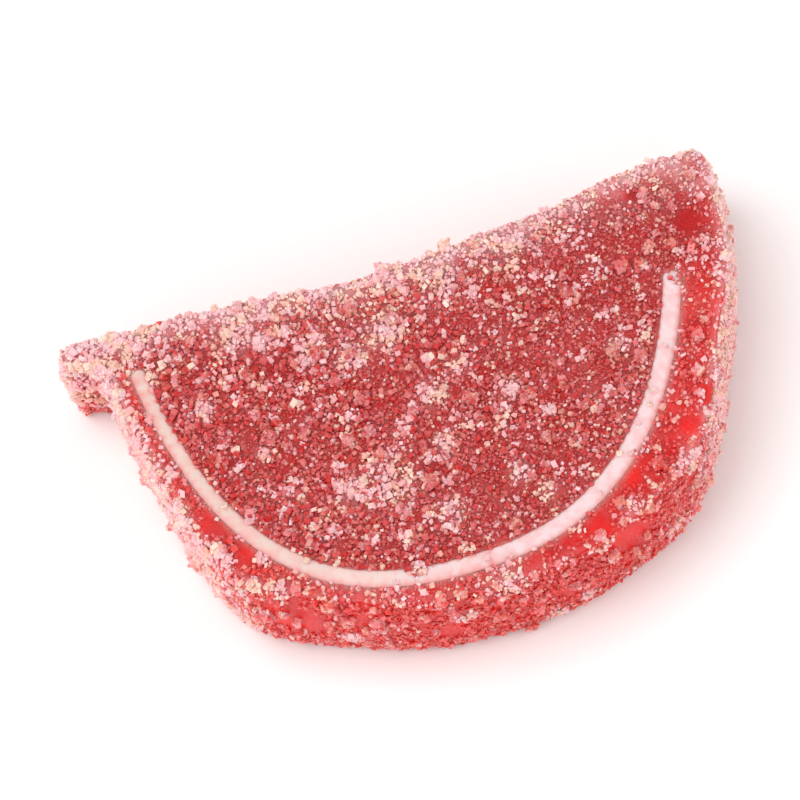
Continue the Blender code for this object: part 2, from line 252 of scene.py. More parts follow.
class JellySliceStudio(bpy.types.PropertyGroup):
    """Camera and lights"""

    distance: length("Distance", 0.55, "From the camera to the slice")
    tilt: angle("Tilt", 22.0, "Angle between the view and straight down")
    azimuth: angle("Azimuth", -3.8, "How far the camera stands round the slice")
    roll: angle("Roll", 14.2, "How far the camera leans")
    pixels_per_metre: plain("Scale", 6620.0, "Pixels of the photograph for a metre of the slice's face")
    zoom: plain("Zoom", 2.2, "Enlargement over the photograph")
    key: power("Key Light", 5.1, "The large soft light above")
    right: power("Right Light", 2.6, "From the right")
    left: power("Left Light", 1.7, "From the left")
    front: power("Front Light", 1.9, "From in front")
    ambient: plain("Ambient", 0.46, "Strength of the light from all round")


def shape():
    return bpy.context.scene.jelly_shape


def pith():
    return bpy.context.scene.jelly_pith


def sugar():
    return bpy.context.scene.jelly_sugar


def colours():
    return bpy.context.scene.jelly_colours


def studio():
    return bpy.context.scene.jelly_studio


# The plan: outlines as arrays of points


def arch(turn, part, centre):
    """Points of an arch. turn runs from 0 at the right to pi at the left, round the lowest point."""
    across, down = np.cos(turn), np.sin(turn)
    half = np.where(across > 0, part.right_width, part.left_width)
    bend = 2 / np.where(across > 0, part.right_fullness, part.left_fullness)
    x = half * np.sign(across) * np.abs(across) ** bend
    return np.stack([x, centre - (part.depth + centre) * down**bend], axis=1)


def turn_at(below, fullness, depth, centre):
    """How far an arch has turned, from its own end, where it is this far below the corner line."""
    return math.asin(((below + centre) / (depth + centre)) ** (fullness / 2))


def rim(turn):
    """The rind's outline, with its waves and the lip drawn out at the left corner."""
    s = shape()
    points = arch(turn, s, s.rind_centre)
    wave = sum(height * np.sin(count * turn + phase) for count, height, phase in RIM_WAVES)
    points += np.stack([np.cos(turn), -np.sin(turn)], axis=1) * wave[:, None]
    lip = s.lip_length * np.exp(-((np.minimum(points[:, 1], 0) / s.lip_fade) ** 4))
    points[:, 0] -= np.where(points[:, 0] < 0, lip, 0)
    return points


def flat_side(x):
    """The flat side sags gently between the corners."""
    s = shape()
    ripple = sum(height * np.sin(x / size + phase) for size, height, phase in FLAT_RIPPLES)
    sag = np.cos(math.pi / 2 * np.clip(x / s.flat_dip_half, -1, 1)) ** 2
    return np.stack([x, s.flat_back + ripple - s.flat_dip * sag], axis=1)


def soft_corner(start, corner, end):
    share = np.linspace(0, 1, CORNER_STEPS + 2)[1:-1, None]
    return start * (1 - share) ** 2 + corner * 2 * share * (1 - share) + end * share**2


def evenly(points, count):
    """A closed outline resampled at even steps."""
    closed = np.vstack([points, points[:1]])
    along = np.concatenate([[0], np.cumsum(np.linalg.norm(np.diff(closed, axis=0), axis=1))])
    marks = np.linspace(0, along[-1], count, endpoint=False)
    return np.stack([np.interp(marks, along, closed[:, k]) for k in (0, 1)], axis=1)


def slab_outline(count):
    """The slice seen from above, anticlockwise from the left corner."""
    s = shape()
    first = turn_at(-s.flat_back, s.right_fullness, s.depth, s.rind_centre)
    last = math.pi - turn_at(-s.flat_back, s.left_fullness, s.depth, s.rind_centre)
    round_rind = rim(np.linspace(last, first, RIND_STEPS))
    left, right = round_rind[0], round_rind[-1]
    off_right = np.linalg.norm(round_rind - right, axis=1) > s.right_corner
    off_left = np.linalg.norm(round_rind - left, axis=1) > s.left_corner
    round_rind = round_rind[off_right & off_left]
    flat = flat_side(np.linspace(right[0] - s.right_corner, left[0] + s.left_corner, FLAT_STEPS))
    corners = [soft_corner(round_rind[-1], right, flat[0]), soft_corner(flat[-1], left, round_rind[0])]
    return evenly(np.vstack([round_rind, corners[0], flat, corners[1]]), count)


def outward_of(points):
    """Outward directions along a closed anticlockwise outline, eased round sharp corners."""
    tangent = np.roll(points, -1, axis=0) - np.roll(points, 1, axis=0)
    for _ in range(EASING_ROUNDS):
        tangent = (np.roll(tangent, 1, axis=0) + 2 * tangent + np.roll(tangent, -1, axis=0)) / 4
    normal = np.stack([tangent[:, 1], -tangent[:, 0]], axis=1)
    return normal / np.linalg.norm(normal, axis=1, keepdims=True)


def band_line(steps):
    """The middle of the pith band, from left to right: points, directions and half widths."""
    p, centre = pith(), shape().rind_centre
    last = turn_at(p.right_end, p.right_fullness, p.depth, centre)
    first = math.pi - turn_at(p.left_end, p.left_fullness, p.depth, centre)
    share = np.linspace(0, 1, steps + 1)
    points = arch(first + (last - first) * share, p, centre)
    along = np.gradient(points, axis=0)
    along /= np.linalg.norm(along, axis=1, keepdims=True)
    swell = p.swell * np.sin(math.pi * share**SWELL_SHIFT) ** SWELL_SHAPE
    half = (p.left_thickness + (p.right_thickness - p.left_thickness) * share + swell) / 2
    return points, along, half


def band_stations(steps, grow=0.0):
    """Stations along the whole band, its rounded ends too: points, directions and half widths."""
    points, along, half = band_line(steps)
    bend = np.linspace(0, END_BEND, END_STEPS + 1)[1:]

    def end(place, ahead, width):
        reach = (width * END_REACH + grow) * np.sin(bend)
        return place + ahead * reach[:, None], (width + grow) * np.cos(bend)

    start_points, start_half = end(points[0], -along[0], half[0])
    end_points, end_half = end(points[-1], along[-1], half[-1])
    return (
        np.vstack([start_points[::-1], points, end_points]),
        np.vstack([[along[0]] * END_STEPS, along, [along[-1]] * END_STEPS]),
        np.concatenate([start_half[::-1], half + grow, end_half]),
    )


def band_outline(steps, grow=0.0):
    """The band seen from above, anticlockwise."""
    points, along, half = band_stations(steps, grow)
    across = np.stack([along[:, 1], -along[:, 0]], axis=1) * half[:, None]
    return np.vstack([points + across, (points - across)[::-1]])


def plan_origin():
    """Where the plan's own origin lies in the slice's frame. The pith's box tells."""
    low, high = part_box("pith")
    outline = band_outline(COARSE_STEPS)
    middle = (outline.min(axis=0) + outline.max(axis=0)) / 2
    return np.array([(low.x + high.x) / 2, (low.y + high.y) / 2]) - middle


def band_distance(places):
    """In plan: the distance to the band's edge, negative inside it; the distance from the band's middle line,
    negative on the flesh's side; and how far beyond the band's ends."""
    points, along, half = band_line(NEAR_STEPS)
    points = points + plan_origin()
    apart = places[:, None, :2] - points[None]
    reach = np.linalg.norm(apart, axis=2)
    nearest = np.argmin(reach - half[None], axis=1)
    rows = np.arange(len(places))
    across = np.stack([along[:, 1], -along[:, 0]], axis=1)[nearest]
    side = np.einsum("ij,ij->i", apart[rows, nearest], across)
    ahead = np.einsum("ij,ij->i", apart[rows, nearest], along[nearest])
    beyond = np.where(nearest == len(points) - 1, ahead, np.where(nearest == 0, -ahead, 0))
    return reach[rows, nearest] - half[nearest], side, np.maximum(beyond, 0)


def falling(values, full, none):
    """1 up to full, 0 from none on, and straight between."""
    return np.clip((none - values) / (none - full), 0, 1)


def share_of_rind_and_glow(places):
    """1 in the rind, less along the slice's other edges, where the brighter red is painted glow, and 0 in the
    flesh.
    """
    apart, side, beyond = band_distance(places)
    gap, _ = skin().rim_distance(places)
    rise = np.clip(apart / RED_RISE, 0, 1)
    past_ends = falling(beyond, 0, RED_PAST_ENDS) * np.clip(side / (HAIR + RED_OPENING * beyond), 0, 1)
    rind_red_and_glow = np.where(side > 0, rise * past_ends, 0)
    return np.maximum(rind_red_and_glow, EDGE_GLOW * falling(gap, EDGE_GLOW_FULL, EDGE_GLOW_NONE))


def field(places, size, offset=0.0):
    """Smooth noise from about -1 to 1 at these places, with features of this size."""
    return np.array([noise.noise(Vector(p) / size + Vector((offset, offset, offset))) for p in places])


def relief(plan_places):
    """How the jelly rolls, by the place in the plan."""
    scale = shape().relief_scale
    return field(plan_places, scale) + SMALL_ROLL * field(plan_places, scale / SMALL_ROLL_FINER)


# Meshes from arrays


def linked(name, data):
    """A new object in the scene."""
    obj = bpy.data.objects.new(name, data)
    bpy.context.scene.collection.objects.link(obj)
    return obj


def mesh_object(name, places, faces, smooth):
    mesh = bpy.data.meshes.new(name)
    mesh.from_pydata(places.tolist(), [], [tuple(f) for f in faces])
    mesh.update()
    if smooth:
        mesh.shade_smooth()
    return linked(name, mesh)


def tube(rings, size):
    """The quads between this many rings of points, all of this size, and a face that closes each end."""
    around, after = np.arange(size), np.roll(np.arange(size), -1)
    start = np.arange(rings - 1)[:, None] * size
    corners = [start + around, start + after, start + size + after, start + size + around]
    ends = [list(range(size))[::-1], list(range((rings - 1) * size, rings * size))]
    return np.stack(corners, axis=2).reshape(-1, 4), ends


def note(obj, **notes):
    """Keeps a value for each point of a mesh under each of these names."""
    for name, values in notes.items():
        obj.data.attributes.new(name, "FLOAT", "POINT").data.foreach_set("value", values.astype(np.float32))


def triangle_object(name, places, triangles, frost, rind_red_and_glow):
    """A mesh of flat triangles, with each point's share of frost and of the rind's red, which along the edges
    is painted glow.
    """
    mesh = bpy.data.meshes.new(name)
    mesh.vertices.add(len(places))
    mesh.vertices.foreach_set("co", places.astype(np.float32).ravel())
    mesh.loops.add(triangles.size)
    mesh.loops.foreach_set("vertex_index", triangles.astype(np.int32).ravel())
    mesh.polygons.add(len(triangles))
    mesh.polygons.foreach_set("loop_start", np.arange(0, triangles.size, 3, dtype=np.int32))
    mesh.update(calc_edges=True)
    mesh.shade_flat()
    obj = linked(name, mesh)
    note(obj, frost=frost, rind=rind_red_and_glow)
    return obj


class Surface:
    """The slab's skin as arrays: places, directions, and quads with the part of the skin each belongs to."""

    OUTLINE_POINTS = 420
    BASE_RINGS, EDGE_RINGS, WALL_RINGS, FACE_RINGS = 40, 6, 24, 70
    INNERMOST = 0.012  # of the outline's size
    CROWDING = 0.9  # under 1, the face's rings stand closer near the rim
    HUB = np.array([0.0, -5.0 * MM])  # where the rings of both faces close in

    def __init__(self, coat, lift, pitting):
        s = shape()
        outline = slab_outline(self.OUTLINE_POINTS)
        outward = outward_of(outline)
        outline = outline - outward * coat
        inset = outline - outward * s.edge_round
        low, high = lift, s.thickness - coat
        places, normals, kinds = [], [], []

        def ring(points, height, flat, up, kind):
            places.append(np.column_stack([points, np.full(len(points), height)]))
            normals.append(np.column_stack([outward * flat, np.full(len(points), up)]))
            kinds.append(kind)

        def rounded(bends, middle, kind):
            """The rings of a rounded edge. A bend of 0 is on the wall, and a quarter turn on a face."""
            for bend in bends:
                flat, up = math.cos(bend), math.sin(bend)
                line = outline - outward * (s.edge_round * (1 - flat))
                ring(line, middle + s.edge_round * up, flat, up, kind)

        bends = np.linspace(0, math.pi / 2, self.EDGE_RINGS + 2)[1:-1]
        low_middle, high_middle = low + s.edge_round, high - s.edge_round
        for share in np.linspace(self.INNERMOST, 1, self.BASE_RINGS):
            ring(self.HUB + (inset - self.HUB) * share, low, 0, -1, "base")
        rounded(-bends[::-1], low_middle, "wall")
        for height in np.linspace(low_middle, high_middle, self.WALL_RINGS):
            ring(outline, height, 1, 0, "wall")
        rounded(bends, high_middle, "face")
        for share in np.linspace(1, self.INNERMOST, self.FACE_RINGS) ** self.CROWDING:
            ring(self.HUB + (inset - self.HUB) * share, high, 0, 1, "face")

        self.places, self.normals = np.vstack(places), np.vstack(normals)
        self.settle(pitting)
        self.quads, self.ends = tube(len(kinds), self.OUTLINE_POINTS)
        self.quad_kind = np.repeat(np.array(kinds[:-1]), self.OUTLINE_POINTS)
        self.outline, self.outward = outline + plan_origin(), outward

    def settle(self, pitting):
        """Rolls and swells the skin, pits it, and moves it from the plan into the slice's frame."""
        s = shape()
        height = self.places[:, 2] / s.thickness
        roll = relief(self.places)
        pits = pitting * sum(share * field(self.places, size, offset) for share, size, offset in PITS)
        flat = self.normals * [1, 1, 0]
        swell = s.side_bulge * np.sin(math.pi * np.clip(height, 0, 1))
        swell += s.face_relief * SIDE_ROLL * roll * height
        above_base = self.normals[:, 2] > -1
        self.places += flat * swell[:, None]
        self.places[:, 2] += s.face_relief * roll * height * np.maximum(self.normals[:, 2], 0)
        self.places += self.normals * (pits * above_base)[:, None]
        self.places[:, :2] += plan_origin()

    def faces(self):
        return [*self.quads.tolist(), *self.ends]

    def triangles(self, kind):
        """Corners and directions of the triangles of one part of the skin."""
        quads = self.quads[self.quad_kind == kind]
        threes = np.vstack([quads[:, [0, 1, 2]], quads[:, [0, 2, 3]]])
        return self.places[threes], self.normals[threes].mean(axis=1)

    def rim_distance(self, places):
        """In plan: the distance to the outline, and the outward direction of its nearest point."""
        tree = KDTree(self.OUTLINE_POINTS)
        for k, (x, y) in enumerate(self.outline):
            tree.insert((x, y, 0), k)
        tree.balance()
        found = [tree.find((x, y, 0)) for x, y in places[:, :2]]
        return np.array([gap for _, _, gap in found]), self.outward[[k for _, k, _ in found]]

    def tree(self):
        return BVHTree.FromPolygons(self.places.tolist(), self.faces())


made_once = {}


def once(make, *values):
    """What make gives for these values, made only once."""
    key = (make.__name__, *values)
    if key not in made_once:
        made_once[key] = make(*values)
    return made_once[key]


def skin():
    """The jelly's skin, under its coat of sugar."""
    s = shape()
    return once(Surface, s.coat, s.base_lift, s.pitting)


def face_height(plan_points):
    """The upper face's height at these points of the plan."""
    s = shape()
    places = np.column_stack([plan_points, np.full(len(plan_points), s.thickness)])
    return s.thickness - s.coat + s.face_relief * relief(places)


# Finishes


class Wire:
    """An output of a shader node. Sums on it add Math nodes."""

    def __init__(self, finish, socket):
        self.finish, self.socket = finish, socket

    def maths(self, operation, first, second):
        return self.finish.node("ShaderNodeMath", {"operation": operation}, {0: first, 1: second})

    def __add__(self, other):
        return self.maths("ADD", self, other)

    def __sub__(self, other):
        return self.maths("SUBTRACT", self, other)

    def __mul__(self, other):
        return self.maths("MULTIPLY", self, other)

    __radd__, __rmul__ = __add__, __mul__

    def clamped(self):
        return self.maths("MINIMUM", self.maths("MAXIMUM", self, 0.0), 1.0)

    def step(self, low, high):
        """0 below low, 1 above high, smooth between."""
        values = {"Value": self, "From Min": low, "From Max": high}
        return self.finish.node("ShaderNodeMapRange", {"interpolation_type": "SMOOTHSTEP"}, values)


class Finish:
    """A material, its Principled shader and the nodes that feed it."""

    def __init__(self, name, **constants):
        self.material = bpy.data.materials.new(name)
        self.material.use_nodes = True
        self.tree = self.material.node_tree
        self.shader = self.tree.nodes["Principled BSDF"]
        for socket, value in constants.items():
            self.shader.inputs[socket.replace("_", " ")].default_value = value

    def node(self, kind, settings=None, values=None, output=0):
        """One node: its settings first, then the values or wires of its sockets."""
        made = self.tree.nodes.new(kind)
        for setting, value in (settings or {}).items():
            setattr(made, setting, value)
        for socket, value in (values or {}).items():
            self.feed(made.inputs[socket], value)
        return Wire(self, made.outputs[output])

    def feed(self, socket, value):
        if isinstance(value, Wire):
            self.tree.links.new(value.socket, socket)
        elif socket.type == "RGBA":
            socket.default_value = (*value[:3], 1.0)
        else:
            socket.default_value = value

    def mix(self, share, first, second):
        """A colour between two. A Mix node takes colours at inputs 6 and 7 and gives one at output 2."""
        return self.node("ShaderNodeMix", {"data_type": "RGBA"}, {0: share, 6: first, 7: second}, output=2)

    def place(self):
        return self.node("ShaderNodeTexCoord", output="Object")

    def grain(self, size, detail=2.0, roughness=0.5):
        """Noise from 0 to 1 with features of about this size."""
        values = {"Vector": self.place(), "Scale": 1 / size, "Detail": detail, "Roughness": roughness}
        return self.node("ShaderNodeTexNoise", values=values)

    def attribute(self, name):
        return self.node("ShaderNodeAttribute", {"attribute_name": name}, output="Fac")

    def colour(self, value):
        self.feed(self.shader.inputs["Base Color"], value)

    def relief(self, height, distance):
        values = {"Height": height, "Distance": distance}
        self.feed(self.shader.inputs["Normal"], self.node("ShaderNodeBump", values=values))


def jelly_finish():
    c = colours()
    f = Finish(
        "RedJelly",
        Subsurface_Weight=1.0,
        Subsurface_Radius=(1.0, 0.16, 0.12),
        Subsurface_Scale=1.4 * MM,
        Specular_IOR_Level=0.24,
        Coat_Weight=0.14,
        Coat_Roughness=0.12,
    )
    broad = f.grain(3.0 * MM, 3.0).step(0.3, 0.7)
    fine = f.grain(0.16 * MM, 3.0, 0.6)
    dust = fine.step(0.42, 0.66)
    flesh = f.mix(broad, c.flesh_deep, c.flesh)
    rind = f.mix(broad, c.rind_deep, c.rind)
    # The rind's brighter red is partly painted glow of light through the jelly, and along the other edges
    # only that
    red = f.mix(f.attribute("rind"), flesh, rind)
    dusty = f.mix(dust * f.attribute("dusty"), red, c.dusty)
    filmed = f.mix(f.attribute("film"), dusty, c.sugar_white)
    # The painted glow of the white band through the jelly
    f.colour(f.mix(f.attribute("by_pith"), filmed, c.by_pith))
    f.feed(f.shader.inputs["Roughness"], 0.2 + 0.4 * dust)
    f.relief(fine, 0.05 * MM)
    return f.material


def pith_finish():
    c = colours()
    f = Finish(
        "WhitePith",
        Subsurface_Weight=0.6,
        Subsurface_Radius=(1.0, 0.5, 0.45),
        Subsurface_Scale=0.8 * MM,
        Coat_Weight=0.1,
        Coat_Roughness=0.3,
    )
    mottle = f.grain(0.9 * MM, 4.0)
    edge = (f.attribute("edge") + 0.25 * (mottle - 0.5)).clamped()
    milky = f.mix(f.attribute("creamy"), c.pith, c.pith_cream)
    mottled = f.mix(0.3 * mottle.step(0.42, 0.62), milky, c.pith_edge)
    # Pinker towards the jelly: partly stain, partly painted glow of its red
    f.colour(f.mix(edge, mottled, c.pith_edge))
    f.feed(f.shader.inputs["Roughness"], 0.42 + 0.2 * mottle)
    f.relief(f.grain(0.25 * MM, 2.0), 0.02 * MM)
    return f.material


def sugar_finish():
    """Sugar crystals: clear ones are painted with the jelly's red that shows through them, frosted ones are
    white.
    """
    c = colours()
    f = Finish(
        "Sugar",
        IOR=1.54,
        Subsurface_Weight=0.45,
        Subsurface_Radius=(1.0, 0.6, 0.55),
        Subsurface_Scale=0.25 * MM,
    )
    cloud = f.grain(0.22 * MM, 2.0)
    frost = (f.attribute("frost") + 0.3 * (cloud - 0.5)).clamped()
    # Over the rind and the edges the crystals take the brighter red, which is partly painted glow
    rosy = f.mix(f.attribute("rind"), c.sugar_rosy, c.sugar_bright)
    white = f.mix(f.grain(1.2 * MM, 1.0).step(0.46, 0.62), c.sugar_white, c.sugar_cream)
    f.colour(f.mix(frost, rosy, white))
    f.feed(f.shader.inputs["Roughness"], 0.18 + 0.3 * cloud)
    return f.material


def floor_finish():
    f = Finish("PaleFloor", Roughness=0.85)
    f.colour(f.mix(f.grain(0.05, 2.0), colours().floor, [v * 0.985 for v in colours().floor]))
    return f.material


# Scattering sugar

BLOCK = np.array([[x, y, z] for x in (-0.5, 0.5) for y in (-0.5, 0.5) for z in (-0.5, 0.5)])
BLOCK_TRIANGLES = np.array(
    [
        [0, 1, 3], [0, 3, 2], [4, 6, 7], [4, 7, 5], [0, 4, 5], [0, 5, 1],
        [2, 3, 7], [2, 7, 6], [0, 2, 6], [0, 6, 4], [1, 5, 7], [1, 7, 3],
    ]
)
BLOCK_SHAPE = (1.0, 0.85, 0.68)
SHARD = np.array([[0.5, 0.35, 0.3], [-0.5, 0.4, 0.1], [0.05, -0.5, 0.35], [0.0, 0.05, -0.5]])
SHARD_TRIANGLES = np.array([[0, 1, 2], [0, 3, 1], [1, 3, 2], [2, 3, 0]])
CROOKED = 0.13  # how far each corner strays, against the crystal's size
STRETCH = (0.8, 1.2)


def tumbled(draw, count):
    """Random rotation matrices."""
    q = draw.normal(size=(count, 4))
    w, x, y, z = (q / np.linalg.norm(q, axis=1, keepdims=True)).T
    rows = [
        [1 - 2 * (y * y + z * z), 2 * (x * y - z * w), 2 * (x * z + y * w)],
        [2 * (x * y + z * w), 1 - 2 * (x * x + z * z), 2 * (y * z - x * w)],
        [2 * (x * z - y * w), 2 * (y * z + x * w), 1 - 2 * (x * x + y * y)],
    ]
    return np.array(rows).transpose(2, 0, 1)


def crystals(name, draw, places, sizes, frost, form=BLOCK, threes=BLOCK_TRIANGLES):
    """One mesh of tumbled sugar crystals, each slightly crooked and none below the ground."""
    count = len(places)
    crooked = form[None] + draw.uniform(-CROOKED, CROOKED, (count, len(form), 3))
    stretch = np.array(BLOCK_SHAPE) * draw.uniform(*STRETCH, (count, 3)) * sizes[:, None]
    corners = np.einsum("nij,nkj->nki", tumbled(draw, count), crooked * stretch[:, None]) + places[:, None]
    corners[..., 2] += np.maximum(-corners[..., 2].min(axis=1), 0)[:, None]
    triangles = threes[None] + len(form) * np.arange(count)[:, None, None]
    shares = [np.repeat(values, len(form)) for values in (np.clip(frost, 0, 1), share_of_rind_and_glow(places))]
    obj = triangle_object(name, corners.reshape(-1, 3), triangles.reshape(-1, 3), *shares)
    return dressed(obj, once(sugar_finish))


def spread(draw, corners, normals, per_square_mm, keep):
    """Random places and directions over triangles, kept with the chance that keep gives for each."""
    sides = np.cross(corners[:, 1] - corners[:, 0], corners[:, 2] - corners[:, 0])
    areas = np.linalg.norm(sides, axis=1) / 2
    count = int(areas.sum() / MM**2 * per_square_mm)
    chosen = draw.choice(len(areas), count, p=areas / areas.sum())
    a, b = np.sort(draw.random((2, count)), axis=0)[:, :, None]
    places = corners[chosen, 0] * a + corners[chosen, 1] * (b - a) + corners[chosen, 2] * (1 - b)
    directions = normals[chosen] / np.linalg.norm(normals[chosen], axis=1, keepdims=True)
    stays = draw.random(count) < keep(places, directions)
    return places[stays], directions[stays]


def placed(spots):
    """The middle and radius of each of these spots, in the slice's frame."""
    shift = np.array([*plan_origin(), 0])
    return [(np.array(middle) * MM + shift, radius * MM) for *middle, radius in spots]


def near_spots(places, spots):
    """1 in these spots, falling to 0 round them."""
    found = np.zeros(len(places))
    for middle, radius in placed(spots):
        reach = np.linalg.norm(places - middle, axis=1) / radius
        found = np.maximum(found, falling(reach, SPOT_FULL, SPOT_NONE))
    return found


def bare(places):
    """1 where the jelly lies bare, with a ragged edge."""
    ragged = 1.05 + 0.15 * field(places, 0.9 * MM, 1.0)
    return np.minimum(near_spots(places, BARE_PATCHES) * ragged, 1)


def to_right(places):
    """-1 at the left end, 1 at the right."""
    return np.clip(places[:, 0] / ENDS_REACH, -1, 1)


def sizes_at(draw, places, middle):
    """Sizes about a middle one: coarser to the left, and coming and going."""
    trend = 1.0 - 0.2 * to_right(places) + 0.16 * field(places, 4.0 * MM, 8.0)
    return middle * trend * np.clip(draw.lognormal(0, SIZE_SPREAD, len(places)), *SIZE_LIMITS)


def frost_of(draw, sizes, whiteness):
    """Most crystals are clear and painted with the jelly's colour that shows through them, and some of the
    larger ones are white.
    """
    chance = (FROSTED + whiteness) * (sizes / sizes.mean()) ** 1.5
    whiter = np.maximum(whiteness, 0)
    clear = draw.beta(1.0, 6.0, len(sizes)) + 0.4 * whiter
    white = draw.uniform(0.6, 1.0, len(sizes)) + 0.2 * whiter
    return np.where(draw.random(len(sizes)) < chance, white, clear)


def dressed(obj, material):
    obj.data.materials.clear()
    obj.data.materials.append(material)
    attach(obj, BODY)
    return obj


def draw_for(step):
    return np.random.default_rng(sugar().seed * 100 + step)


def patchy(places, always, besides, size, offset):
    """A share that is always this much, and in patches up to this much more."""
    return always + besides * np.clip(0.5 + 0.9 * field(places, size, offset), 0, 1)


def keep_on_face(places, directions):
    apart, side, beyond = band_distance(places)
    rind = np.where(side > 0, falling(beyond, 0, RIND_COAT_PAST_ENDS), 0)
    on_flesh, on_rind = patchy(places, *ON_FLESH), patchy(places, *ON_RIND_FACE)
    chance = (on_flesh + (on_rind - on_flesh) * rind) * (1 - bare(places))
    return np.where(apart < ON_BAND_GAP, near_spots(places, SPILLS), chance)


def white_on_face(places, directions):
    """The upper face is whiter along the flat side, at its edges and outside the pith."""
    gap, outward = skin().rim_distance(places)
    by_flat = outward[:, 1] > OUT_OF_FLAT
    near_flat = 0.7 * falling(gap, 0.3 * MM, 1.8 * MM) + 0.315 * falling(gap, 0.4 * MM, 4.4 * MM)
    at_edge = falling(gap, 0, 0.8 * MM) * (0.3 + 0.5 * outward[:, 0] ** 2)
    apart, side, _ = band_distance(places)
    by_pith = np.where(side > 0, falling(apart, 0, 0.6 * MM), 0)
    crust = 0.42 * near_spots(places, CRUSTS) + 0.35 * near_spots(places, CLUMPS)
    white = near_flat * by_flat + at_edge + 0.25 * by_pith + crust
    return white + 0.05 * to_right(places) + 0.12 * field(places, 2.2 * MM, 7.0)


def keep_on_side(places, directions):
    on_rind = patchy(places, *ON_RIND_SIDE) + ON_ENDS * directions[:, 0] ** 4
    return np.where(directions[:, 1] < OUT_OF_FLAT, on_rind, ON_FLAT_SIDE) * (1 - bare(places))


def frost_and_light_on_side(places, directions):
    """The sides are whiter at the ends and on the flat side than round the foot of the rind; the end that
    faces right is whitest, which is painted light.
    """
    # Whiter ends are frost; the right-facing end's extra white is painted light
    frost_and_light_at_ends = np.where(directions[:, 0] > 0, 1.3, 0.6) * directions[:, 0] ** 4
    on_flat = 0.3 * (directions[:, 1] > OUT_OF_FLAT)
    crust = 0.42 * near_spots(places, CRUSTS) + 0.4 * near_spots(places, CLUMPS)
    return frost_and_light_at_ends + on_flat - 0.1 + crust + 0.1 * field(places, 1.8 * MM, 11.0)


# One operator for each piece or group of like pieces


class JELLY_OT_body(bpy.types.Operator):
    """Make the slab of red jelly, with the slot that the pith runs through"""

    bl_idname = "jelly_slice.body"
    bl_label = "Jelly"

    PAST = 3 * MM  # how far the slot's cutter stands out of both faces
    GLOW_IN_RIND, GLOW_IN_FLESH = 0.55 * MM, 0.15 * MM  # how far the painted glow of the white band reaches into the jelly
    # strength of that painted glow
    GLOW = 0.8
    FILM = 0.6  # how far the finest sugar hides the jelly where the coat is whitest

    def execute(self, context):
        surface = skin()
        obj = mesh_object("jelly_body", surface.places, surface.faces(), True)
        self.cut_slot(obj)
        self.tell_places(obj)
        dressed(obj, once(jelly_finish))
        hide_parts("jelly")
        return {"FINISHED"}

    def cut_slot(self, obj):
        cutter_mesh = bpy.data.meshes.new("slot_cutter")
        bm = bmesh.new()
        outline = band_outline(SLOT_STEPS) + plan_origin()
        floor = bm.faces.new([bm.verts.new((x, y, -self.PAST)) for x, y in outline])
        raised = bmesh.ops.extrude_face_region(bm, geom=[floor])["geom"]
        up = [v for v in raised if isinstance(v, bmesh.types.BMVert)]
        bmesh.ops.translate(bm, verts=up, vec=(0, 0, shape().thickness + 2 * self.PAST))
        bmesh.ops.recalc_face_normals(bm, faces=bm.faces)
        bm.to_mesh(cutter_mesh)
        bm.free()
        cutter = linked("slot_cutter", cutter_mesh)
        cut = obj.modifiers.new("Slot", "BOOLEAN")
        cut.operation, cut.object, cut.solver = "DIFFERENCE", cutter, "MANIFOLD"
        graph = bpy.context.evaluated_depsgraph_get()
        mesh = bpy.data.meshes.new_from_object(obj.evaluated_get(graph))
        obj.modifiers.clear()
        if len(mesh.polygons) == len(obj.data.polygons):
            raise RuntimeError("the slot was not cut")
        obj.data = mesh
        bpy.data.objects.remove(cutter)
        mesh.shade_smooth()
        mesh.set_sharp_from_angle(angle=SHARP)

    def tell_places(self, obj):
        """Notes on each point how near the pith is, for the painted glow of the white band through the jelly,
        and how much dust and fine sugar hide the jelly.
        """
        places = np.array([v.co for v in obj.data.vertices])
        directions = np.array([v.normal for v in obj.data.vertices])
        up = directions[:, 2]
        apart, side, _ = band_distance(places)
        near = falling(apart, 0, np.where(side > 0, self.GLOW_IN_RIND, self.GLOW_IN_FLESH)) ** 1.5
        rind_red_and_glow = share_of_rind_and_glow(places)
        covered = 1 - bare(places)
        dusty = np.clip(0.8 + 0.4 * field(places, 2.5 * MM, 5.0), 0, 1) * (1 - 0.5 * rind_red_and_glow) * covered
        # On the sides this whiteness holds painted light on the end that faces right
        white = np.where(up > 0.7, white_on_face(places, directions), frost_and_light_on_side(places, directions))
        film = np.clip(white, 0, 1) * patchy(places, 0.5, 0.5, 1.0 * MM, 15.0) * covered * (up > -0.7)
        note(obj, by_pith=self.GLOW * near, rind=rind_red_and_glow, dusty=dusty, film=self.FILM * film)


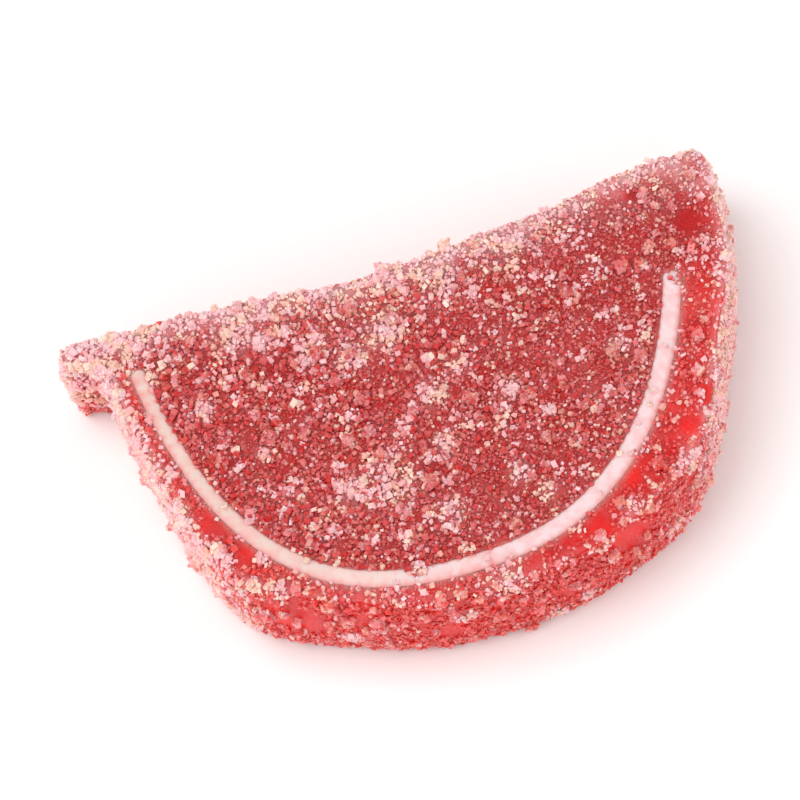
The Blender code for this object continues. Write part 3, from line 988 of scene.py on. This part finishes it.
class JELLY_OT_pith(bpy.types.Operator):
    """Make the white pith band, which runs through the slice"""

    bl_idname = "jelly_slice.pith"
    bl_label = "Pith Band"

    ACROSS = np.linspace(-1, 1, 15)  # places across the band
    DOWN = np.linspace(0, 1, 9)[1:-1, None, None]  # and down its sides
    CLEARANCE = 0.012 * MM
    SOFT_BY_RIND, SOFT_BY_FLESH = 0.34 * MM, 0.12 * MM  # how far in the jelly's red shows on the band: partly stain, partly painted glow
    CREAMY_REACH = 16 * MM

    def execute(self, context):
        loops = self.loops()
        quads, ends = tube(*loops.shape[:2])
        obj = mesh_object("pith_band", loops.reshape(-1, 3), [*quads.tolist(), *ends], True)
        bm = bmesh.new()
        bm.from_mesh(obj.data)
        bmesh.ops.recalc_face_normals(bm, faces=bm.faces)
        bm.to_mesh(obj.data)
        bm.free()
        obj.data.set_sharp_from_angle(angle=SHARP)
        self.tell_places(obj)
        dressed(obj, once(pith_finish))
        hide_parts("pith")
        return {"FINISHED"}

    def loops(self):
        """A loop of points round the band at each station along it."""
        p, s = pith(), shape()
        points, along, half = band_stations(BAND_STEPS, -self.CLEARANCE)
        across = np.stack([along[:, 1], -along[:, 0]], axis=1)
        plan = points[:, None] + across[:, None] * (half[:, None] * self.ACROSS)[..., None]
        stations, width = plan.shape[:2]
        plan = plan.reshape(-1, 2)
        shoulder = np.tile(p.crown * self.ACROSS**6, stations)
        upper = np.column_stack([plan + plan_origin(), face_height(plan) - p.recess - shoulder])
        lower = np.column_stack([plan + plan_origin(), s.base_lift + shoulder])
        upper, lower = upper.reshape(stations, width, 3), lower.reshape(stations, width, 3)
        left = lower[:, -1] + (upper[:, -1] - lower[:, -1]) * self.DOWN
        right = upper[:, 0] + (lower[:, 0] - upper[:, 0]) * self.DOWN
        sides = [side.transpose(1, 0, 2) for side in (left, right)]
        return np.concatenate([lower, sides[0], upper[:, ::-1], sides[1]], axis=1)

    def tell_places(self, obj):
        """Notes on each point how near the jelly is, for its red stain and painted glow, and how creamy the
        band is.
        """
        places = np.array([v.co for v in obj.data.vertices])
        apart, side, _ = band_distance(places)
        edge = falling(-apart, 0, np.where(side > 0, self.SOFT_BY_RIND, self.SOFT_BY_FLESH)) ** 1.3
        creamy = 0.1 - places[:, 0] / self.CREAMY_REACH + 0.4 * field(places, 4.0 * MM, 6.0)
        note(obj, edge=edge, creamy=np.clip(creamy, 0, 1))


class JELLY_OT_fine_sugar(bpy.types.Operator):
    """Scatter the fine sugar over the upper face, the sides and the base"""

    bl_idname = "jelly_slice.fine_sugar"
    bl_label = "Fine Sugar"

    STAND_OFF = (0.0, 0.35)  # how far a crystal's middle stands off the jelly, against its size
    WHITE_UNDERNEATH = 0.1

    def execute(self, context):
        g = sugar()
        draw = draw_for(1)
        places, directions = spread(draw, *skin().triangles("face"), g.face, keep_on_face)
        self.lay("sugar_on_face", draw, places, directions, white_on_face(places, directions))
        draw = draw_for(2)
        places, directions = spread(draw, *skin().triangles("wall"), g.sides, keep_on_side)
        white = frost_and_light_on_side(places, directions)
        flat = directions[:, 1] > OUT_OF_FLAT
        for name, part in (("sugar_on_rind", ~flat), ("sugar_on_flat_side", flat)):
            self.lay(name, draw, places[part], directions[part], white[part])
        draw = draw_for(3)
        places, directions = spread(draw, *skin().triangles("base"), g.base, self.keep_underneath)
        self.lay("sugar_underneath", draw, places, directions, self.WHITE_UNDERNEATH)
        return {"FINISHED"}

    def lay(self, name, draw, places, directions, white):
        sizes = sizes_at(draw, places, sugar().crystal)
        places = places + directions * (sizes * draw.uniform(*self.STAND_OFF, len(places)))[:, None]
        crystals(name, draw, places, sizes, frost_of(draw, sizes, white))

    @staticmethod
    def keep_underneath(places, directions):
        apart, _, _ = band_distance(places)
        return np.where(apart < CLEAR_UNDERNEATH, 0, patchy(places, *ON_BASE))


class JELLY_OT_dust(bpy.types.Operator):
    """Powder the upper face and the sides with sugar dust"""

    bl_idname = "jelly_slice.dust"
    bl_label = "Sugar Dust"

    STAND_OFF = 0.2  # against a speck's size

    def execute(self, context):
        draw = draw_for(6)
        for name, part, keep, white in (
            ("dust_on_face", "face", keep_on_face, white_on_face),
            ("dust_on_sides", "wall", keep_on_side, frost_and_light_on_side),
        ):
            places, directions = spread(draw, *skin().triangles(part), sugar().dust_cover, keep)
            sizes = sizes_at(draw, places, sugar().dust)
            whiter = 0.8 * np.maximum(white(places, directions), 0)
            frost = 0.05 + 0.35 * draw.random(len(places)) + whiter
            places = places + directions * (sizes * self.STAND_OFF)[:, None]
            crystals(name, draw, places, sizes, frost, SHARD, SHARD_TRIANGLES)
        return {"FINISHED"}


class JELLY_OT_clumps(bpy.types.Operator):
    """Heap the fine clumps of sugar, the larger ones where the photograph shows them"""

    bl_idname = "jelly_slice.clumps"
    bl_label = "Sugar Clumps"

    SMALL_PER_SQUARE_MM = 0.22
    SMALL_SIZES = (0.45 * MM, 0.8 * MM)
    LEAST, IN_FULL_CLUMP, FULL_CLUMP = 4, 30, 1.5 * MM  # crystals, and the size of clump that takes them
    COARSER = 1.15  # a clump's crystals, against the others
    SPREAD, HEIGHT = 0.3, 0.2  # against the clump's size
    FROST = (0.7, 1.1)
    OFF_BAND, SPILT = 0.05 * MM, 0.3  # crystals this near the band stay only where this much is spilt

    def execute(self, context):
        draw = draw_for(4)
        heaps = placed(CLUMPS)
        tree = skin().tree()
        places, _ = spread(draw, *skin().triangles("face"), self.SMALL_PER_SQUARE_MM, keep_on_face)
        heaps += [(place, draw.uniform(*self.SMALL_SIZES)) for place in places]
        all_places, all_sizes, all_frost = [], [], []
        for middle, size in heaps:
            count = int(self.LEAST + self.IN_FULL_CLUMP * (size / self.FULL_CLUMP) ** 2)
            offset = draw.normal(0, self.SPREAD, (count, 3)) * size
            sizes = sizes_at(draw, middle + offset, sugar().crystal * self.COARSER)
            for shift, crystal in zip(offset, sizes):
                hit, normal, _, _ = tree.find_nearest(Vector(middle + shift))
                heap = self.HEIGHT * size * math.exp(-(shift @ shift) / (3 * (self.SPREAD * size) ** 2))
                all_places.append(hit + normal * (0.25 * crystal + heap * draw.random()))
                all_sizes.append(crystal)
                all_frost.append(draw.uniform(*self.FROST))
        places = np.array(all_places)
        apart, _, _ = band_distance(places)
        free = (apart > self.OFF_BAND) | (near_spots(places, SPILLS) > self.SPILT)
        crystals("sugar_clumps", draw, places[free], np.array(all_sizes)[free], np.array(all_frost)[free])
        return {"FINISHED"}


class JELLY_OT_lumps(bpy.types.Operator):
    """Make the largest lumps of sugar, each where the solid has its grain"""

    bl_idname = "jelly_slice.lumps"
    bl_label = "Sugar Lumps"

    PROUD = 0.08 * MM  # how far a grain's points stand off the solid's smooth surface
    BAND_RECESS = 0.15 * MM  # the solid band's, without its grains
    ROOT = 0.2 * MM  # how deep a lump goes down into the jelly
    JELLY_FROST, PITH_FROST = 0.28, 1.3
    FROST_SPREAD = 0.35

    def execute(self, context):
        tree = Surface(0.0, 0.0, 0.0).tree()
        band_top = shape().thickness - self.BAND_RECESS

        def off_jelly(place):
            near, normal, _, _ = tree.find_nearest(place)
            return (place - near).dot(normal) > self.PROUD

        def off_pith(place):
            return place.z > band_top + self.PROUD

        self.make("lump", "jelly", off_jelly, draw_for(5), self.JELLY_FROST)
        self.make("lump_on_pith", "pith", off_pith, draw_for(8), self.PITH_FROST)
        return {"FINISHED"}

    def lumps_of(self, node, proud):
        """The points of a solid that stand proud of its smooth surface, in groups, each with its root."""
        bm = bmesh.new()
        bm.from_mesh(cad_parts[node].data)
        bmesh.ops.remove_doubles(bm, verts=bm.verts, dist=0.001 * MM)
        bm.normal_update()
        bm.verts.ensure_lookup_table()
        waiting = [proud(v.co) for v in bm.verts]
        groups = []
        for start in range(len(waiting)):
            if not waiting[start]:
                continue
            waiting[start] = False
            edge, points = [start], []
            while edge:
                vert = bm.verts[edge.pop()]
                points.append(vert.co.copy())
                for other in (e.other_vert(vert) for e in vert.link_edges):
                    if waiting[other.index]:
                        waiting[other.index] = False
                        edge.append(other.index)
                    elif not proud(other.co):
                        points.append(other.co - other.normal * self.ROOT)
            groups.append(points)
        bm.free()
        return groups

    def make(self, name, node, proud, draw, frosted):
        heap = bmesh.new()
        for points in self.lumps_of(node, proud):
            verts = [heap.verts.new(p) for p in points]
            bmesh.ops.convex_hull(heap, input=verts)
            bmesh.ops.delete(heap, geom=[v for v in verts if not v.link_faces], context="VERTS")
        bmesh.ops.triangulate(heap, faces=heap.faces)
        heap.verts.index_update()
        places = np.array([v.co for v in heap.verts])
        threes = np.array([[v.index for v in f.verts] for f in heap.faces])
        normals = np.array([f.normal for f in heap.faces])
        heap.free()
        frost = np.clip(self.frost_on(places, frosted), 0, 1)
        core = triangle_object(name + "_cores", places, threes, frost, share_of_rind_and_glow(places))
        dressed(core, once(sugar_finish))
        spots, _ = spread(draw, places[threes], normals, sugar().lumps, lambda p, d: np.ones(len(p)))
        sizes = sizes_at(draw, spots, sugar().crystal)
        strays = draw.uniform(-self.FROST_SPREAD, self.FROST_SPREAD, len(spots))
        crystals(name + "_crystals", draw, spots, sizes, self.frost_on(spots, frosted) + strays)

    @staticmethod
    def frost_on(places, frosted):
        """Lumps are whiter where the fine sugar round them is."""
        gap, outward = skin().rim_distance(places)
        at_side = 0.7 * outward[:, 0] ** 4 * falling(gap, 0.5 * MM, 1.5 * MM)
        as_fine_sugar = 0.6 * np.maximum(white_on_face(places, None), 0)
        return frosted + 0.25 * field(places, 1.5 * MM, 13.0) + at_side + as_fine_sugar


class JELLY_OT_studio(bpy.types.Operator):
    """Set the pale floor, the soft lights and the camera at the photograph's angle"""

    bl_idname = "jelly_slice.studio"
    bl_label = "Studio"

    LIGHTS = (  # name and power, place, size
        ("key", (-0.35, 0.15, 0.85), 0.7),
        ("right", (0.75, -0.15, 0.5), 0.6),
        ("left", (-0.75, -0.3, 0.45), 0.6),
        ("front", (0.0, -0.8, 0.5), 0.6),
    )
    FLOOR_HALF = 2.0
    SENSOR = 36.0  # millimetres
    CLIP = (0.01, 10.0)
    # Pixels of the photograph
    PHOTO_WIDTH = 800
    FRAME_MIDDLE = (400.0, 400.0)
    FLAT_SIDE_MIDDLE = (343.4, 296.3)
    SLICE_MIDDLE = (351.5, 368.0)
    SEEN = (-0.32 * MM, 0.634 * MM, 0)  # the flat side's middle in the plan

    def execute(self, context):
        self.floor()
        for name, place, size in self.LIGHTS:
            self.light(name + "_light", place, size, getattr(studio(), name))
        self.world()
        self.camera()
        return {"FINISHED"}

    def floor(self):
        corners = self.FLOOR_HALF * np.array([[-1, -1, 0], [1, -1, 0], [1, 1, 0], [-1, 1, 0]])
        obj = mesh_object("floor", corners, [[0, 1, 2, 3]], False)
        obj.data.materials.append(once(floor_finish))
        obj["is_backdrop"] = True

    def light(self, name, place, size, power):
        lamp = bpy.data.lights.new(name, "AREA")
        lamp.size, lamp.energy = size, power
        obj = linked(name, lamp)
        obj.location = place
        obj.rotation_euler = (-Vector(place)).to_track_quat("-Z", "Y").to_euler()

    def world(self):
        world = bpy.data.worlds.new("studio")
        world.use_nodes = True
        background = world.node_tree.nodes["Background"]
        background.inputs["Color"].default_value = (1, 1, 1, 1)
        background.inputs["Strength"].default_value = studio().ambient
        bpy.context.scene.world = world
        bpy.context.scene.view_settings.view_transform = "Standard"

    def camera(self):
        s = studio()
        level = math.sin(s.tilt)
        back = Vector((level * math.sin(s.azimuth), -level * math.cos(s.azimuth), math.cos(s.tilt)))
        right = Vector((math.cos(s.azimuth), math.sin(s.azimuth), 0))
        up = back.cross(right)
        leaning = right * math.cos(s.roll) - up * math.sin(s.roll)
        upright = right * math.sin(s.roll) + up * math.cos(s.roll)

        def offset(pixel):
            """How far this pixel lies from the photograph's middle, in the plane through the slice."""
            across, down = ((a - b) / s.pixels_per_metre for a, b in zip(pixel, self.FRAME_MIDDLE))
            return leaning * across - upright * down

        seen = Vector((*plan_origin(), shape().thickness)) + Vector(self.SEEN)
        place = seen + back * s.distance - offset(self.FLAT_SIDE_MIDDLE)
        aim = place - back * s.distance + offset(self.SLICE_MIDDLE)
        back = (place - aim).normalized()
        leaning = upright.cross(back).normalized()
        upright = back.cross(leaning)
        camera = bpy.data.cameras.new("camera")
        camera.sensor_width = self.SENSOR
        camera.lens = self.SENSOR * s.pixels_per_metre * s.distance * s.zoom / self.PHOTO_WIDTH
        camera.clip_start, camera.clip_end = self.CLIP
        obj = linked("camera", camera)
        turn = Matrix((leaning, upright, back)).transposed()
        obj.matrix_world = Matrix.Translation(place) @ turn.to_4x4()
        bpy.context.scene.camera = obj


STEPS = (
    JELLY_OT_body,
    JELLY_OT_pith,
    JELLY_OT_lumps,
    JELLY_OT_fine_sugar,
    JELLY_OT_clumps,
    JELLY_OT_dust,
    JELLY_OT_studio,
)
GROUPS = {
    "jelly_shape": JellySliceShape,
    "jelly_pith": JellySlicePith,
    "jelly_sugar": JellySliceSugar,
    "jelly_colours": JellySliceColours,
    "jelly_studio": JellySliceStudio,
}


class JELLY_PT_sidebar(bpy.types.Panel):
    """The slice's pieces and values"""

    bl_idname = "JELLY_PT_sidebar"
    bl_label = "Jelly Slice"
    bl_space_type = "VIEW_3D"
    bl_region_type = "UI"
    bl_category = "Jelly Slice"

    def draw(self, context):
        for step in STEPS:
            self.layout.operator(step.bl_idname)
        for name, group in GROUPS.items():
            box = self.layout.box()
            box.label(text=group.__doc__)
            for value in group.__annotations__:
                box.prop(getattr(context.scene, name), value)


def register():
    for made in (*GROUPS.values(), *STEPS, JELLY_PT_sidebar):
        bpy.utils.register_class(made)
    for name, group in GROUPS.items():
        setattr(bpy.types.Scene, name, PointerProperty(type=group))


def unregister():
    for name in GROUPS:
        delattr(bpy.types.Scene, name)
    for made in (JELLY_PT_sidebar, *reversed(STEPS), *reversed(GROUPS.values())):
        bpy.utils.unregister_class(made)


def write_sizes():
    """Gathers the solid model's box and the dressed model's box as lists, and does nothing more with them."""
    boxes = {"cad": CAD_BOX, "visual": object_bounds()}
    {name: [list(corner) for corner in box] for name, box in boxes.items()}


def main():
    register()
    bpy.ops.jelly_slice.body()
    bpy.ops.jelly_slice.pith()
    bpy.ops.jelly_slice.lumps()
    bpy.ops.jelly_slice.fine_sugar()
    bpy.ops.jelly_slice.clumps()
    bpy.ops.jelly_slice.dust()
    bpy.ops.jelly_slice.studio()
    write_sizes()


if __name__ == "__main__":
    main()
